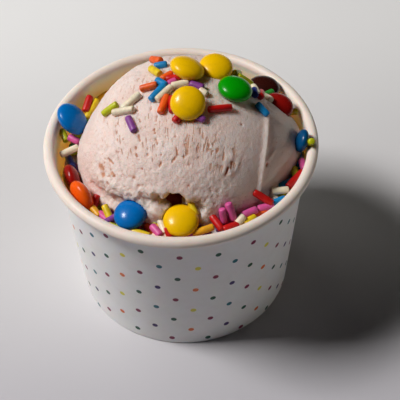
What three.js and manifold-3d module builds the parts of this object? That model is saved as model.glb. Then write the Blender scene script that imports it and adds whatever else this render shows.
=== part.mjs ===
// A scoop of gelato in a rolled-rim paper cup, strewn with sugar-coated lentil candies and sprinkles.
// Millimetres, +Z up. The origin is the middle of the foot ring and the front of the cup faces -Y.
// A bearing is an angle round the cup seen from above, in degrees, with +X at 0 and the front at 270.
// A drop is an angle down from the scoop's crown, in degrees: 0 at the crown and 90 at its waist.
import * as THREE from "three";
import { mergeVertices } from "three/addons/utils/BufferGeometryUtils.js";
import Module from "manifold-3d";

const wasm = await Module();
wasm.setup();

// Paper cup
const RIM_RADIUS = 50;
const CUP_HEIGHT = 71;
const FOOT_RADIUS = 40.5;
const WALL_TOP_RADIUS = 46.6;
const PAPER = 0.5;
const GAP = 0.3;
const CURL_RADIUS = 1.8;
const CURL_TURN = 270;
const CURL_STEPS = 6;
const HEM_HEIGHT = 7;
const FLOOR_HEIGHT = 7.6;
const FLANGE_FOOT = 1;
const CUP_SIDES = 48;

// Gelato
const SCOOP_CENTRE = new THREE.Vector3(1.5, 0.8, 62.7);
const SCOOP_HALF = new THREE.Vector3(39, 39.7, 31.3);
const GUTTER_LEVEL = 60;
const GELATO_SIDES = 54;
const SCOOP_RINGS = 16;

// Candies and sprinkles
const CANDY_SIDES = 12;
const CANDY_RINGS = 6;
const SPRINKLE_RADIUS = 1.3;
const SPRINKLE_SIDES = 6;
const SPRINKLE_TIP = 0.75;
const SPRINKLE_SINK = 0.4;
const FILLER_SPRINKLES = 16;
const FILLER_LENGTH = 7.5;
const FILLER_BEARINGS = [24, 138];
const FILLER_LIFT = [0.6, 1.4];
const FILLER_SWING = 30;
const FILLER_CLIMB = 8;
const SHORTEST_EDGE = 0.03;

const COLOURS = {
  paper: 0xf1efea,
  gelato: 0xe8d3cb,
  yellow: 0xe0a800,
  green: 0x0a8a14,
  blue: 0x0b66b8,
  orange: 0xf2560c,
  red: 0x9c1410,
  brown: 0x2c100b,
};

// Broad swells and hollows of the scoop: bearing, drop, spread in degrees, height in mm.
const SWELLS = [
  [33, 64, 20.6, -5],
  [6, 84, 24.4, 4.4],
  [185, 88, 20, 1],
  [160, 65, 22, -1.9],
  [254, 74, 5, 1.3],
];

// Torn hollows under the ragged lip at the front: bearing, drop, half-width, half-height, depth.
const LIP_HOLLOWS = [
  [261.5, 67.5, 6.6, 5, 8.5],
  [250, 67.5, 7, 3.8, 2.8],
  [232, 79, 10, 5, 2.8],
  [218, 81, 9, 4, 1.6],
  [274, 72, 5, 6, 2.6],
];

// Folds that stand up from the surface: two ends as bearing and drop, half-width in degrees, height.
const FOLDS = [
  [349, 45.6, 332, 51.2, 3, 0.9],
  [332, 51.2, 318, 60.5, 3, 0.9],
  [318, 60.5, 309, 73.5, 3, 0.9],
  [214, 70, 237, 67, 3.2, 0.9],
  [237, 67, 256, 60, 3.2, 1],
  [304, 48, 299, 56, 3, 0.9],
];

// Furrows that the scoop's blade dragged down the front: middle bearing and drop, their spreads, depth.
const FURROWS = { bearing: 252, drop: 38, wide: 42, tall: 22, pitch: 13, depth: 0.8 };

// Rises and falls of the gutter between scoop and wall: bearing, spread, height in mm.
const GUTTER_RISES = [
  [280, 42, 6.4],
  [232, 16, 3.8],
  [338, 18, 5.4],
  [190, 34, -1.6],
  [20, 24, 3],
];

// Candies: colour, place of the middle, bearing and climb of the face, radius, half-thickness.
const CANDIES = {
  candy_yellow_top_left: ["yellow", [3.2, 9.2, 96.3], [33, 66], 6.3, 3.3],
  candy_yellow_top_back: ["yellow", [13.6, 14.2, 91.8], [330, 82], 6.1, 3.2],
  candy_yellow_top_front: ["yellow", [2.9, -8.5, 96.3], [270, 58], 6.1, 3.2],
  candy_green_top: ["green", [19.7, 1.6, 92.7], [22, 74], 6.2, 3.3],
  candy_blue_left: ["blue", [-39.5, 10.8, 71.9], [357, 47], 6.5, 3.3],
  candy_orange_left: ["orange", [-35.8, -22, 65.5], [212, -5], 6.2, 3.1],
  candy_red_left: ["red", [-39.9, -10.5, 61.5], [196, -5], 6.2, 3.1],
  candy_blue_front: ["blue", [-18.5, -34.3, 69], [233, 76], 5.8, 3.2],
  candy_yellow_front: ["yellow", [-1, -38.6, 69.7], [265, 78], 6.2, 3.2],
  candy_brown_hollow: ["brown", [-4, -28.6, 68.8], [266, 60], 5.6, 2.9],
  candy_brown_back: ["brown", [31.8, 23.9, 71.8], [40, 81], 6.1, 3.2],
  candy_red_back: ["red", [36.2, 11.3, 74.3], [350, 75], 5.8, 3],
  candy_blue_right: ["blue", [43.6, -4.2, 71.3], [356, -20], 4.3, 2.2],
};

// Sprinkles on the scoop: bearing, drop, turn from straight downhill in degrees, length.
const SCOOP_SPRINKLES = [
  [114, 35, 14, 6.5],
  [117, 25, 62, 5],
  [130, 22, -8, 7],
  [122, 9, 60, 5.5],
  [167, 18, 16, 6.5],
  [155, 12, -24, 5.5],
  [186, 13, 45, 8.5],
  [196, 10, 30, 8],
  [120, 3, 73, 6.5],
  [224, 14, 24, 8],
  [241, 12, 28, 7],
  [261, 18, -29, 5.5],
  [290, 21, 26, 5.5],
  [11, 7, -33, 5.5],
  [140, 8, 69, 5],
  [344, 11, -22, 5],
  [326, 22, 50, 9],
  [187, 27, 27, 6],
  [182, 41, 6, 7],
  [193, 33, -27, 9],
  [212, 33, 75, 7],
  [354, 44, -30, 6],
  [38, 40, 21, 7.5],
  [28, 41, -19, 7.5],
  [13, 41, 72, 6.5],
  [16, 44, 72, 7.5],
  [13, 47, 56, 7],
  [20, 60, 76, 6.5],
  [128, 13, -90, 5],
];

// Sprinkles heaped in the gutter: x, y, z of the middle, heading in plan and climb in degrees, length.
const GUTTER_SPRINKLES = [
  [43.5, -11.6, 66.5, 95, -11, 6],
  [40.1, -19.3, 67.2, 49, 4, 9],
  [34.2, -25.3, 68.3, 6, 0, 6.3],
  [31.3, -25.6, 66, 131, 0, 6],
  [33.3, -28.8, 66.8, 24, -1, 6],
  [27.8, -29.8, 70.1, 158, 26, 8],
  [28.7, -31.8, 67.2, 13, 0, 6],
  [22.9, -34.6, 68, 27, 0, 6],
  [26.9, -33.1, 66, 6, -2, 5],
  [22.7, -37.4, 67, 41, 0, 5.5],
  [19.2, -38.5, 68.2, 43, 23, 5],
  [11.3, -39, 68.2, 124, 16, 6.5],
  [16.1, -40.4, 67.6, 21, 3, 6],
  [14.4, -36.9, 66, 177, 0, 6],
  [13.5, -37.4, 70, 118, 72, 6],
  [16.3, -36.3, 70.8, 128, 63, 7],
  [6.4, -41.8, 67.8, 15, 9, 8],
  [0, -42.5, 67.1, 176, 0, 6],
  [-5.3, -42.4, 67.6, 112, 46, 5],
  [-7.4, -39, 67.3, 107, 12, 6],
  [-8.7, -37, 65.8, 102, -6, 6],
  [-9.6, -40.7, 67.4, 124, 5, 5.5],
  [-8.5, -42.4, 65.8, 177, 0, 6],
  [-15, -41, 66.4, 155, -2, 7],
  [-11.2, -34.4, 66.8, 125, 17, 6.5],
  [-26.6, -30.5, 66.2, 113, 23, 6],
  [-25.5, -33.4, 65.6, 29, 8, 6],
  [-28, -31, 64.4, 129, -3, 5.5],
  [-23.8, -37, 65.2, 152, 0, 6],
  [-30.9, -28.5, 64.5, 121, 5, 5.5],
  [-31.6, -24.6, 63.6, 64, 34, 8],
  [-34.5, 23, 67.6, 73, 17, 7],
  [-33, 21.8, 66, 62, 14, 9],
  [-42, 6.2, 65.4, 136, 24, 6],
  [-39.2, 5.3, 66.7, 147, 5, 5],
  [-40.9, 0.7, 65.6, 24, 8, 7.5],
  [-39.7, -1.9, 63.4, 48, 19, 6],
  [41, 13.8, 68.6, 7, 0, 6],
  [34.8, 18.2, 74.6, 25, 5, 6],
];

const radians = (degrees) => THREE.MathUtils.degToRad(degrees);
const wallOuter = (z) => FOOT_RADIUS + ((WALL_TOP_RADIUS - FOOT_RADIUS) * z) / CUP_HEIGHT;
const wallInner = (z) => wallOuter(z) - PAPER;

// Difference between two bearings, from -180 to 180.
function bearingGap(a, b) {
  return ((((a - b + 180) % 360) + 360) % 360) - 180;
}

// The unit vector from the scoop's middle towards a bearing and a drop.
function direction(bearing, drop) {
  const [b, d] = [radians(bearing), radians(drop)];
  return new THREE.Vector3(Math.sin(d) * Math.cos(b), Math.sin(d) * Math.sin(b), Math.cos(d));
}

// A closed body turned round Z from a profile of [radius, height] points that runs upwards outside.
function turned(profile, sides) {
  const points = profile.map(([r, z]) => new THREE.Vector2(r, z));
  return new THREE.LatheGeometry(points, sides).rotateX(Math.PI / 2);
}

// ---- Solids for joining and cutting

function toSolid(geometry) {
  const bare = new THREE.BufferGeometry().setAttribute("position", geometry.getAttribute("position"));
  bare.setIndex(geometry.getIndex());
  const merged = mergeVertices(bare, 1e-4);
  return new wasm.Manifold(new wasm.Mesh({
    numProp: 3,
    vertProperties: new Float32Array(merged.getAttribute("position").array),
    triVerts: withoutSlivers(merged.getIndex().array),
  }));
}

// The poles of a turned body leave triangles with two corners in one place, which are dropped.
function withoutSlivers(index) {
  const kept = [];
  for (let i = 0; i < index.length; i += 3) {
    const [a, b, c] = index.slice(i, i + 3);
    if (a !== b && b !== c && c !== a) kept.push(a, b, c);
  }
  return new Uint32Array(kept);
}

function toGeometry(solid) {
  const mesh = solid.getMesh();
  const geometry = new THREE.BufferGeometry();
  geometry.setAttribute("position", new THREE.BufferAttribute(mesh.vertProperties, 3));
  geometry.setIndex(new THREE.BufferAttribute(mesh.triVerts, 1));
  return geometry;
}

// ---- Paper cup

// Both faces of the rolled rim's curl, out over the top from the wall and back under.
function curlPoints(radius) {
  const centre = RIM_RADIUS - CURL_RADIUS - PAPER / 2;
  const height = CUP_HEIGHT - CURL_RADIUS - PAPER / 2;
  return Array.from({ length: CURL_STEPS + 1 }, (_, i) => {
    const angle = radians(180 - (CURL_TURN * i) / CURL_STEPS);
    return [centre + radius * Math.cos(angle), height + radius * Math.sin(angle)];
  });
}

function cupWall() {
  const hemOuter = (z) => wallInner(z) - GAP - PAPER - GAP;
  const inside = [
    [hemOuter(0) - PAPER, 0],
    [wallOuter(0), 0],
    ...curlPoints(CURL_RADIUS - PAPER / 2),
    ...curlPoints(CURL_RADIUS + PAPER / 2).reverse(),
    [wallInner(PAPER), PAPER],
    [hemOuter(PAPER), PAPER],
    [hemOuter(HEM_HEIGHT), HEM_HEIGHT],
    [hemOuter(HEM_HEIGHT) - PAPER, HEM_HEIGHT],
    [hemOuter(0) - PAPER, 0],
  ];
  return turned(inside, CUP_SIDES);
}

function cupFloor() {
  const flangeOuter = (z) => wallInner(z) - GAP;
  const top = FLOOR_HEIGHT + PAPER;
  return turned([
    [0, FLOOR_HEIGHT],
    [flangeOuter(FLOOR_HEIGHT) - PAPER, FLOOR_HEIGHT],
    [flangeOuter(FLANGE_FOOT) - PAPER, FLANGE_FOOT],
    [flangeOuter(FLANGE_FOOT), FLANGE_FOOT],
    [flangeOuter(top), top],
    [0, top],
  ], CUP_SIDES);
}

// ---- Gelato

// Distance in degrees from a direction to the fold between two others.
function foldDistance(n, from, to) {
  const run = to.clone().sub(from);
  const along = THREE.MathUtils.clamp(n.clone().sub(from).dot(run) / run.lengthSq(), 0, 1);
  return THREE.MathUtils.radToDeg(n.distanceTo(from.clone().addScaledVector(run, along)));
}

// How far the scoop stands out from its plain ellipsoid at a bearing and drop.
function relief(bearing, drop) {
  const n = direction(bearing, drop);
  let out = 0;
  for (const [b, d, spread, height] of SWELLS) {
    const away = THREE.MathUtils.radToDeg(n.angleTo(direction(b, d)));
    out += height * Math.exp(-((away / spread) ** 2));
  }
  for (const [b, d, wide, tall, depth] of LIP_HOLLOWS) {
    const away = (bearingGap(bearing, b) / wide) ** 2 + ((drop - d) / tall) ** 2;
    out -= depth * Math.exp(-(away ** 2));
  }
  for (const [b1, d1, b2, d2, half, height] of FOLDS) {
    const away = foldDistance(n, direction(b1, d1), direction(b2, d2));
    out += height * Math.exp(-((away / half) ** 2));
  }
  const across = bearingGap(bearing, FURROWS.bearing);
  const dragged = Math.exp(-((across / FURROWS.wide) ** 2) - ((drop - FURROWS.drop) / FURROWS.tall) ** 2);
  const wave = Math.sin((across / FURROWS.pitch) * 2 * Math.PI);
  return out + FURROWS.depth * dragged * wave;
}

function scoopPoint(bearing, drop, lift = 0) {
  const q = direction(bearing, drop).multiply(SCOOP_HALF);
  return q.setLength(q.length() + relief(bearing, drop) + lift).add(SCOOP_CENTRE);
}

function gutterLevel(bearing) {
  let level = GUTTER_LEVEL;
  for (const [b, spread, height] of GUTTER_RISES) {
    level += height * Math.exp(-((bearingGap(bearing, b) / spread) ** 2));
  }
  return level;
}

// The drop at which the scoop meets a level of the gutter.
function footDrop(level) {
  return THREE.MathUtils.radToDeg(Math.acos((level - SCOOP_CENTRE.z) / SCOOP_HALF.z));
}

// The filling as one turned body: floor, wall, gutter, then the scoop up to its crown.
function gelatoCore() {
  const bottom = FLOOR_HEIGHT + PAPER + GAP;
  const FLOOR_EDGE = 1;
  const WALL_TOP = 2;
  const GUTTER_MIDDLE = 3;
  const SCOOP_FOOT = 4;
  const last = SCOOP_FOOT + SCOOP_RINGS;
  const profile = Array.from({ length: last + 1 }, (_, i) => [i === 0 || i === last ? 0 : 1, i]);
  const body = turned(profile, GELATO_SIDES);
  const at = body.getAttribute("position");
  for (let k = 0; k < at.count; k += 1) {
    const bearing = THREE.MathUtils.radToDeg(Math.atan2(at.getY(k), at.getX(k)));
    const ring = Math.round(at.getZ(k));
    const level = gutterLevel(bearing);
    const round = (radius, z) => new THREE.Vector3(
      radius * Math.cos(radians(bearing)), radius * Math.sin(radians(bearing)), z);
    const lowest = footDrop(level);
    const foot = scoopPoint(bearing, lowest);
    const edge = round(wallInner(level) - GAP, level);
    let p = new THREE.Vector3(0, 0, bottom);
    if (ring === FLOOR_EDGE) p = round(wallInner(bottom) - GAP, bottom);
    if (ring === WALL_TOP) p = edge;
    if (ring === GUTTER_MIDDLE) p = edge.clone().lerp(foot, 0.5);
    if (ring >= SCOOP_FOOT) p = scoopPoint(bearing, (lowest * (last - ring)) / SCOOP_RINGS);
    at.setXYZ(k, p.x, p.y, p.z);
  }
  return toSolid(body);
}

// ---- Candies

function candyBody(radius, half) {
  const profile = Array.from({ length: CANDY_RINGS + 1 }, (_, i) => {
    const angle = (Math.PI * i) / CANDY_RINGS;
    return [i % CANDY_RINGS ? radius * Math.sin(angle) : 0, -half * Math.cos(angle)];
  });
  return turned(profile, CANDY_SIDES);
}

// Turns a body's own Z axis to an axis and moves it to a place.
function place(geometry, at, axis) {
  const turn = new THREE.Quaternion().setFromUnitVectors(new THREE.Vector3(0, 0, 1), axis);
  return geometry.applyQuaternion(turn).translate(at.x, at.y, at.z);
}

function placedCandy([, at, [bearing, climb], radius, half], clearance = 0) {
  const body = candyBody(radius + clearance, half + clearance);
  return place(body, new THREE.Vector3(...at), direction(bearing, 90 - climb));
}

// ---- Sprinkles

function sprinkle(at, axis, length) {
  const end = length / 2;
  const shoulder = end - SPRINKLE_TIP;
  const body = turned([
    [0, -end],
    [SPRINKLE_RADIUS, -shoulder],
    [SPRINKLE_RADIUS, shoulder],
    [0, end],
  ], SPRINKLE_SIDES);
  return place(body, at, axis);
}

function scoopSprinkle([bearing, drop, turn, length]) {
  const step = 0.5;
  const downhill = scoopPoint(bearing, drop + step).sub(scoopPoint(bearing, drop - step)).normalize();
  const side = scoopPoint(bearing + step, drop).sub(scoopPoint(bearing - step, drop)).normalize();
  const across = side.addScaledVector(downhill, -side.dot(downhill)).normalize();
  const axis = downhill.multiplyScalar(Math.cos(radians(turn)))
    .addScaledVector(across, Math.sin(radians(turn)));
  return sprinkle(scoopPoint(bearing, drop, SPRINKLE_RADIUS - SPRINKLE_SINK), axis, length);
}

function gutterSprinkle([x, y, z, heading, climb, length]) {
  return sprinkle(new THREE.Vector3(x, y, z), direction(heading, 90 - climb), length);
}

// Even scatter without repeats, between two limits: the fraction left by steps of an irrational number.
function scatter(i, step, [low, high]) {
  return low + (high - low) * ((i * step) % 1);
}

// Sprinkles that fill the gutter behind the scoop, by a fixed rule.
function fillerSprinkles() {
  return Array.from({ length: FILLER_SPRINKLES }, (_, i) => {
    const bearing = scatter(i + 0.5, 0.618034, FILLER_BEARINGS);
    const level = gutterLevel(bearing) + scatter(i + 0.3, 0.754878, FILLER_LIFT);
    const foot = scoopPoint(bearing, footDrop(level));
    const inner = Math.hypot(foot.x, foot.y);
    const outer = wallInner(level) - GAP - SPRINKLE_RADIUS;
    const radius = scatter(i + 0.7, 0.569840, [inner, outer]);
    return gutterSprinkle([
      radius * Math.cos(radians(bearing)),
      radius * Math.sin(radians(bearing)),
      level,
      bearing + 90 + scatter(i, 0.381966, [-FILLER_SWING, FILLER_SWING]),
      scatter(i, 0.445042, [-FILLER_CLIMB, FILLER_CLIMB]),
      FILLER_LENGTH,
    ]);
  });
}

// The room inside the cup that the gelato and its sprinkles keep to, clear of wall and rolled rim.
function cupRoom() {
  const curlCentre = RIM_RADIUS - CURL_RADIUS - PAPER / 2;
  const curlHeight = CUP_HEIGHT - CURL_RADIUS - PAPER / 2;
  const reach = CURL_RADIUS + PAPER / 2 + GAP;
  const bottom = FLOOR_HEIGHT + PAPER + GAP;
  const overRim = [150, 120, 90].map((angle) => [
    curlCentre + reach * Math.cos(radians(angle)),
    curlHeight + reach * Math.sin(radians(angle)),
  ]);
  const ceiling = 2 * CUP_HEIGHT;
  return toSolid(turned([
    [0, bottom],
    [wallInner(bottom) - GAP, bottom],
    [wallInner(curlHeight) - GAP, curlHeight],
    ...overRim,
    [curlCentre, ceiling],
    [0, ceiling],
  ], CUP_SIDES));
}

// Gelato with every sprinkle joined on, pockets cut for the candies, and loose scraps left out.
function gelato() {
  let body = gelatoCore();
  const rods = [
    ...SCOOP_SPRINKLES.map(scoopSprinkle),
    ...GUTTER_SPRINKLES.map(gutterSprinkle),
    ...fillerSprinkles(),
  ];
  for (const rod of rods) body = body.add(toSolid(rod));
  for (const candy of Object.values(CANDIES)) body = body.subtract(toSolid(placedCandy(candy, GAP)));
  const parts = body.intersect(cupRoom()).decompose();
  const largest = parts.reduce((a, b) => (a.volume() > b.volume() ? a : b));
  return toGeometry(largest.simplify(SHORTEST_EDGE));
}

// ---- Scene

function named(name, geometry, colour, roughness) {
  const material = new THREE.MeshStandardMaterial({ color: colour, roughness, metalness: 0 });
  const mesh = new THREE.Mesh(geometry, material);
  mesh.name = name;
  return mesh;
}

const cup = new THREE.Group();
cup.add(named("cup_wall", cupWall(), COLOURS.paper, 0.55));
cup.add(named("cup_floor", cupFloor(), COLOURS.paper, 0.55));

const serving = new THREE.Group();
serving.add(named("gelato", gelato(), COLOURS.gelato, 0.6));
for (const [name, candy] of Object.entries(CANDIES)) {
  serving.add(named(name, placedCandy(candy), COLOURS[candy[0]], 0.25));
}

const gelatoCup = new THREE.Group();
gelatoCup.add(cup, serving);

export default gelatoCup;
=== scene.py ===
"""A scoop of gelato in a dotted paper cup, with sugar-coated lentils and sprinkles.

Shapes are made in millimetres and each finished piece is scaled to metres, in the frame of the solids: +Z up,
the foot of the cup on Z = 0 and the front facing -Y. A bearing is an angle round the cup seen from above, in
degrees, with +X at 0 and the front at 270. A drop is an angle down from the scoop's crown, in degrees.
"""
import math
import random

import bmesh
import bpy
from mathutils import Matrix, Vector, noise


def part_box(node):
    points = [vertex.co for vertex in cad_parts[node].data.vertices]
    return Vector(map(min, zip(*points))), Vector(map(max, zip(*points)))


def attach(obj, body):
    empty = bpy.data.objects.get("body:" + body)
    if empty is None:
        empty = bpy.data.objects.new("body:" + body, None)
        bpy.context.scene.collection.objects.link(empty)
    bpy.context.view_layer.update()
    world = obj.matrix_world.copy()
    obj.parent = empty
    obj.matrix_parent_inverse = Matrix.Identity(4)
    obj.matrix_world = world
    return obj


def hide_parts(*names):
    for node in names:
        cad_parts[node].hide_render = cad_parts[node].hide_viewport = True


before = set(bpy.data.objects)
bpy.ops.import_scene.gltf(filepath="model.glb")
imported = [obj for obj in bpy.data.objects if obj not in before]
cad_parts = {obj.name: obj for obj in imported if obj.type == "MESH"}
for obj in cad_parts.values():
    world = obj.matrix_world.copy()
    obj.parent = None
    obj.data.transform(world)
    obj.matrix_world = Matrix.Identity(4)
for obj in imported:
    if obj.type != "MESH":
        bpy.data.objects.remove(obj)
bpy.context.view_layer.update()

MM = 0.001

# Points closer than this are merged, in mm
WELD = 1e-5

# Paper cup, in mm: the heights are those of the rings of points up the wall, and the wave is a size and a height
RIM_RADIUS = 50
CUP_HEIGHT = 71
FOOT_RADIUS = 40.5
WALL_TOP_RADIUS = 46.6
PAPER = 0.5
GAP = 0.3
CURL_RADIUS = 1.8
CURL_TURN = 270
CURL_STEPS = 24
HEM_HEIGHT = 7
FOOT_FOLD = 0.6
FOOT_STEPS = 4
OUTER_HEIGHTS = (FOOT_FOLD, 3, 8, 16, 24, 32, 40, 48, 56, 62, 66, 68)
INNER_HEIGHTS = (64, 56, 48, 32, 16, PAPER)
RIM_WAVE = [(16, 0.12)]
RIM_SETTLING = 0.04
CUP_SIDES = 240

# Dots printed on the flat sheet that the wall is rolled from, and the sheet's lap at the back, in mm and degrees
DOT_PITCH = (6.89, 6.81)
DOT_START = (-6.53, 57.61)
DOT_RADIUS = 1.08
DOT_EDGE = 0.1
DOT_TILT = -4.46
SEAM_BEARING = 90
SEAM_WIDTH = 8
SEAM_STEP = 0.25

# Gelato, in mm and degrees. Its points crowd towards the front by a share.
SCOOP_CENTRE = Vector((1.5, 0.8, 62.7))
SCOOP_HALF = Vector((39, 39.7, 31.3))
GELATO_BOTTOM = 8.4
GUTTER_LEVEL = 60
GUTTER_SINK = 2.4
GELATO_SIDES = 560
SCOOP_RINGS = 158
GUTTER_RINGS = 8
WALL_RINGS = 2
FRONT = 270
FRONT_CROWDING = 0.3

# Broad swells and hollows of the scoop: bearing, drop, spread in degrees, height in mm
SWELLS = [
    (33, 64, 20.6, -5),
    (6, 84, 24.4, 4.4),
    (185, 88, 20, 1),
    (160, 65, 22, -1.9),
    (254, 74, 5, 1.3),
]

# Torn hollows under the ragged lip at the front: bearing, drop, half-width, half-height, depth
LIP_HOLLOWS = [
    (261.5, 68.2, 7.2, 6, 9),
    (250, 67.5, 7, 3.8, 2),
    (232, 79, 10, 5, 2.2),
    (218, 81, 9, 4, 1.2),
    (274, 72, 5, 6, 2.6),
]

# The hollows' edge is moved in and out by noise in layers: size in mm, swing in degrees
LIP_RAGGEDNESS = [(3.1, 2.2), (1.3, 1.2)]

# Folds that stand up from the surface: the line that each follows as bearings and drops, half-width, height
FOLDS = [
    ([(353, 48.3), (342, 49.9), (334, 52.8), (328, 56), (323.5, 58.6), (320, 61.8), (316.4, 65.8), (311, 74.4)],
     1.3, 1),
    ([(321.5, 62.5), (327.3, 61.7), (334, 61.7)], 1.2, 0.35),
    ([(214, 70), (237, 67), (256, 60)], 3, 0.5),
    ([(304, 46), (301, 50), (298, 55)], 1.6, 0.5),
    ([(300, 45.5), (297, 49.5), (294, 53)], 1.4, 0.45),
    ([(307, 50), (302, 54.5)], 1.3, 0.3),
]

# Cracks that the blade left along its drag: the line that each follows as bearings and drops, depth in mm
CRACKS = [
    ([(227.5, 21), (231.5, 24), (235.5, 28.5)], 0.9),
    ([(238, 30), (241, 32.5), (244.5, 35)], 0.8),
    ([(224.5, 35), (228.5, 37.5)], 0.7),
    ([(227, 40.5), (232, 45), (235, 46.5)], 0.8),
    ([(235, 49), (240, 51)], 0.7),
    ([(212, 58), (216, 56.5), (221, 57)], 1),
    ([(221, 58.5), (226.5, 57.5), (232, 59)], 0.8),
    ([(252.5, 20.5), (257, 24)], 0.6),
    ([(259.5, 27), (261, 30)], 0.7),
    ([(250, 33), (250.5, 36.5)], 0.5),
    ([(250.5, 40), (252, 43), (251.5, 46.5)], 0.9),
    ([(262.5, 34.5), (263, 39), (260, 43)], 1),
    ([(237.5, 39), (240, 42.5)], 0.5),
    ([(272, 42.5), (272, 46)], 0.5),
    ([(192.5, 25.5), (200, 26.5)], 0.6),
    ([(199.5, 18), (214, 21)], 0.6),
    ([(273, 27.5), (270.5, 31.5)], 0.5),
    ([(291.5, 35.5), (289, 37.5)], 0.7),
    ([(280, 31), (280, 33)], 0.4),
    ([(272, 20), (271, 23.5)], 0.5),
    ([(244, 53), (245.5, 55.5)], 0.5),
    ([(295.5, 40), (290.5, 44.5)], 0.4),
    ([(287, 32), (282, 37)], 0.4),
    ([(217, 43), (221, 44.5)], 0.4),
    ([(215.5, 49.5), (220, 50.5)], 0.4),
    ([(302, 49), (300, 52)], 1),
    ([(298, 51), (295, 54)], 0.9),
]

# A crack's half-width in degrees; its wandering, a size in mm and a swing in degrees; the noise that breaks it up, a
# size in mm and the values between which it fades, with its shift; and how far past its ends it is felt, as a cosine
CRACK_HALF = 0.62
CRACK_WANDER = (1.4, 0.5)
CRACK_BREAKS = (1.7, -0.35, 0.15)
CRACK_SHIFT = Vector((5, 1, 8))
CRACK_REACH = 0.004

# The share of a cut's depth that goes into the shape. The rest is left to painted shade in the colour.
CUT_DEPTH = 0.5

# Crumbly stretches where the blade tore the lower edge: bearing, drop, spread in degrees, roughness in mm
CRUMBS = [
    (216, 66, 13, 0.38),
    (232, 69, 10, 0.38),
    (246, 65, 9, 0.5),
    (206, 55, 9, 0.25),
    (283, 66, 12, 0.3),
]

# Their lumps, and the cuts between them, as shares of the roughness: size in mm, and where a cut starts and is full
CRUMB_LUMPS = [(1.9, 1), (0.9, 0.7)]
CRUMB_CUTS = (1.2, 0.28, 0.6)
CRUMB_SHIFT = Vector((3, 7, 2))
CRUMB_CUT_DEPTH = 1.1
LEAST_CRUMBS = 0.02

# Rises and falls of the gutter between scoop and wall: bearing, spread, height in mm. Its grain is a size and height.
GUTTER_RISES = [
    (280, 42, 6.4),
    (232, 16, 3.8),
    (338, 18, 5.4),
    (190, 34, -1.6),
    (20, 24, 3),
]
GUTTER_GRAIN = [(4, 0.7)]

# The blade dragged the surface towards this bearing and drop, low at the front
RAKE_END = (266, 98)

# Where the drag marks lie: bearing, drop, spread in degrees, strength
RAKE_MARKS = [
    (246, 34, 24, 0.8),
    (212, 45, 24, 0.4),
    (283, 40, 13, 0.4),
    (301, 48, 8, 0.7),
    (90, 50, 60, 0.8),
]

# Lanes and short dashes left by the drag, in mm: width, length, and height or depth. A dash starts and is full at
# these values of its noise.
LANE = (3.2, 16, 0.17)
DASH = (0.9, 4, 0.045)
DASH_EDGE = (0.22, 0.5)
DASH_LAYER = 4

# Grain of the surface in layers of a size and a height in mm. On the smooth side, round this bearing, only a share
# of it is left, and it comes back between these bearings from the middle.
GRAIN = [(8, 0.35), (2.8, 0.16), (1.1, 0.12)]
SMOOTH_MIDDLE = 347
SMOOTH_HALF = (38, 54)
SMOOTH_SHARE = 0.12

# Small round bubbles: how far apart in mm, radius as a share of that, depth in mm. A pick by noise, at a scale and
# above a value, leaves some of them in.
BUBBLES = (3.1, 0.16, 0.3)
BUBBLE_PICK = (5.3, 0.05)

# Torn pits and specks, all made as hollows whose depth the finish paints as shade: bearing, drop, half-width,
# half-height in degrees, depth in mm
PITS = [
    (212, 64, 3, 2, 1),
    (216, 67, 2, 1.4, 0.8),
    (222, 62, 3, 1.2, 0.7),
    (236, 57, 3, 1.2, 0.6),
    (323.5, 63.5, 1.3, 1.1, 1.2),
    (329, 36.5, 1.2, 0.8, 0.8),
    (268.5, 40, 1, 0.8, 0.9),
    (271, 56, 1, 0.7, 0.8),
    (215, 42, 1, 0.7, 0.7),
    (258, 55, 1.2, 1, 0.4),
]

# How uneven a pit's floor is, size in mm and share of its depth, and how far out it is felt
PIT_ROUGHNESS = [(0.8, 0.6)]
PIT_REACH = 6

# How near a candy has to be to press in, and how far over it the gelato may close, in mm
POCKET_NEAR = 3
POCKET_LIP = 1.2

# Candies: colour, bearing and climb of the face, radius and half-thickness in mm. Each lies where its solid does.
CANDIES = {
    "candy_yellow_top_left": ("yellow", 33, 66, 6.3, 3.3),
    "candy_yellow_top_back": ("yellow", 330, 82, 6.1, 3.2),
    "candy_yellow_top_front": ("yellow", 270, 58, 6.1, 3.2),
    "candy_green_top": ("green", 22, 74, 6.2, 3.3),
    "candy_blue_left": ("blue", 357, 47, 6.5, 3.3),
    "candy_orange_left": ("orange", 212, -5, 6.2, 3.1),
    "candy_red_left": ("red", 196, -5, 6.2, 3.1),
    "candy_blue_front": ("blue", 233, 76, 5.8, 3.2),
    "candy_yellow_front": ("yellow", 265, 78, 6.2, 3.2),
    "candy_brown_hollow": ("brown", 266, 60, 5.6, 2.9),
    "candy_brown_back": ("brown", 40, 81, 6.1, 3.2),
    "candy_red_back": ("red", 350, 75, 5.8, 3),
    "candy_blue_right": ("blue", 356, -20, 4.3, 2.2),
}

# How finely a lentil is made, and its unevenness: size in mm, share of its radius
LENTIL_SIDES = 48
LENTIL_RINGS = 24
LENTIL_WAVE = [(3.3, 0.012)]

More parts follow.
